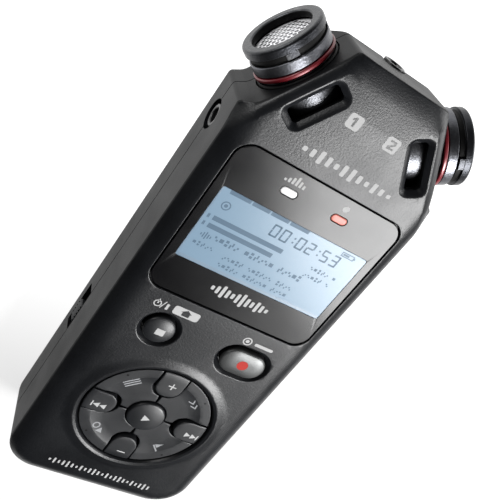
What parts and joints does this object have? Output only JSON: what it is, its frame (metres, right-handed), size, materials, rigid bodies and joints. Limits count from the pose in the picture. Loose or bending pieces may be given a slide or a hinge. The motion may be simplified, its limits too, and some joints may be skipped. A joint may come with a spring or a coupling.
{
  "type": "portable field recorder",
  "caption": "Pocket stereo audio recorder with two angled metal microphones, a tilted display panel, a round key pad and a sliding battery cover.",
  "frame": {"origin": "middle of the overall length and width, on the flat back that the recorder lies on", "axes": "+X towards the right of someone reading the display, +Y from the tail towards the microphones, +Z out of the display"},
  "size_m": [0.0598, 0.141, 0.0259],
  "materials": {
    "casing": "fine satin texture",
    "lens": "polished dark smoke",
    "screen": "pale blue backlit liquid crystal",
    "white_lamp": "clear",
    "red_lamp": "clear, red tint",
    "key": "satin",
    "record_key": "grey metallic lacquer",
    "key_mat": "moulded silicone",
    "board": "solder-masked glass epoxy",
    "black_plastic": "moulded",
    "brass": "machined",
    "steel": "plated",
    "cell": "printed sleeve",
    "rim": "satin anodised grey",
    "grille": "perforated sheet",
    "barrel": "fine turned",
    "red_ring": "anodised red"
  },
  "bodies": {
    "case": {"front_cover": "casing", "rear_cover": "casing", "display_lens": "lens", "lcd_module": "screen", "peak_lamp": "white_lamp", "record_lamp": "red_lamp", "key_mat": "key_mat", "main_board": "board", "speaker": "black_plastic", "tripod_nut": "brass", "case_screw_1": "steel", "case_screw_2": "steel", "case_screw_3": "steel", "case_screw_4": "steel", "headphone_jack": "black_plastic", "line_in_jack": "black_plastic", "card_socket": "steel", "usb_socket": "steel", "contact_plate": "steel", "battery_left": "cell", "contact_spring_left": "steel", "battery_right": "cell", "contact_spring_right": "steel", "mic_rim_left": "rim", "mic_grille_left": "grille", "mic_barrel_left": "barrel", "mic_capsule_left": "grille", "mic_ring_left": "red_ring", "mic_collar_left": "black_plastic", "mic_rim_right": "rim", "mic_grille_right": "grille", "mic_barrel_right": "barrel", "mic_capsule_right": "grille", "mic_ring_right": "red_ring", "mic_collar_right": "black_plastic"},
    "stop_key": {"stop_key": "key"},
    "record_key": {"record_key": "record_key"},
    "play_key": {"play_key": "key"},
    "forward_key": {"forward_key": "key"},
    "plus_key": {"plus_key": "key"},
    "rewind_key": {"rewind_key": "key"},
    "minus_key": {"minus_key": "key"},
    "menu_key": {"menu_key": "key"},
    "quick_key": {"quick_key": "key"},
    "mark_key": {"mark_key": "key"},
    "playback_key": {"playback_key": "key"},
    "hold_slider": {"hold_slider": "key"},
    "card_door": {"card_door": "casing"},
    "battery_cover": {"battery_cover": "casing"}
  },
  "joints": [
    {"name": "stop_press", "type": "slide", "parent": "case", "child": "stop_key", "axis": [0, 0, -1], "range_m": [0, 0.0006], "stiffness_N_per_m": 400},
    {"name": "record_press", "type": "slide", "parent": "case", "child": "record_key", "axis": [0, 0, -1], "range_m": [0, 0.0006], "stiffness_N_per_m": 400},
    {"name": "play_press", "type": "slide", "parent": "case", "child": "play_key", "axis": [0, 0, -1], "range_m": [0, 0.0006], "stiffness_N_per_m": 400},
    {"name": "forward_press", "type": "slide", "parent": "case", "child": "forward_key", "axis": [0, 0, -1], "range_m": [0, 0.0006], "stiffness_N_per_m": 400},
    {"name": "plus_press", "type": "slide", "parent": "case", "child": "plus_key", "axis": [0, 0, -1], "range_m": [0, 0.0006], "stiffness_N_per_m": 400},
    {"name": "rewind_press", "type": "slide", "parent": "case", "child": "rewind_key", "axis": [0, 0, -1], "range_m": [0, 0.0006], "stiffness_N_per_m": 400},
    {"name": "minus_press", "type": "slide", "parent": "case", "child": "minus_key", "axis": [0, 0, -1], "range_m": [0, 0.0006], "stiffness_N_per_m": 400},
    {"name": "menu_press", "type": "slide", "parent": "case", "child": "menu_key", "axis": [0, 0, -1], "range_m": [0, 0.0006], "stiffness_N_per_m": 400},
    {"name": "quick_press", "type": "slide", "parent": "case", "child": "quick_key", "axis": [0, 0, -1], "range_m": [0, 0.0006], "stiffness_N_per_m": 400},
    {"name": "mark_press", "type": "slide", "parent": "case", "child": "mark_key", "axis": [0, 0, -1], "range_m": [0, 0.0006], "stiffness_N_per_m": 400},
    {"name": "playback_press", "type": "slide", "parent": "case", "child": "playback_key", "axis": [0, 0, -1], "range_m": [0, 0.0006], "stiffness_N_per_m": 400},
    {"name": "hold_slide", "type": "slide", "parent": "case", "child": "hold_slider", "axis": [0, 1, 0], "range_m": [0, 0.003]},
    {"name": "card_door_hinge", "type": "hinge", "parent": "case", "child": "card_door", "pos_m": [0.0268, 0.01425, 0.0126], "axis": [0, 1, 0], "range_deg": [0, 90]},
    {"name": "battery_cover_slide", "type": "slide", "parent": "case", "child": "battery_cover", "axis": [0, -1, 0], "range_m": [0, 0.07]}
  ]
}
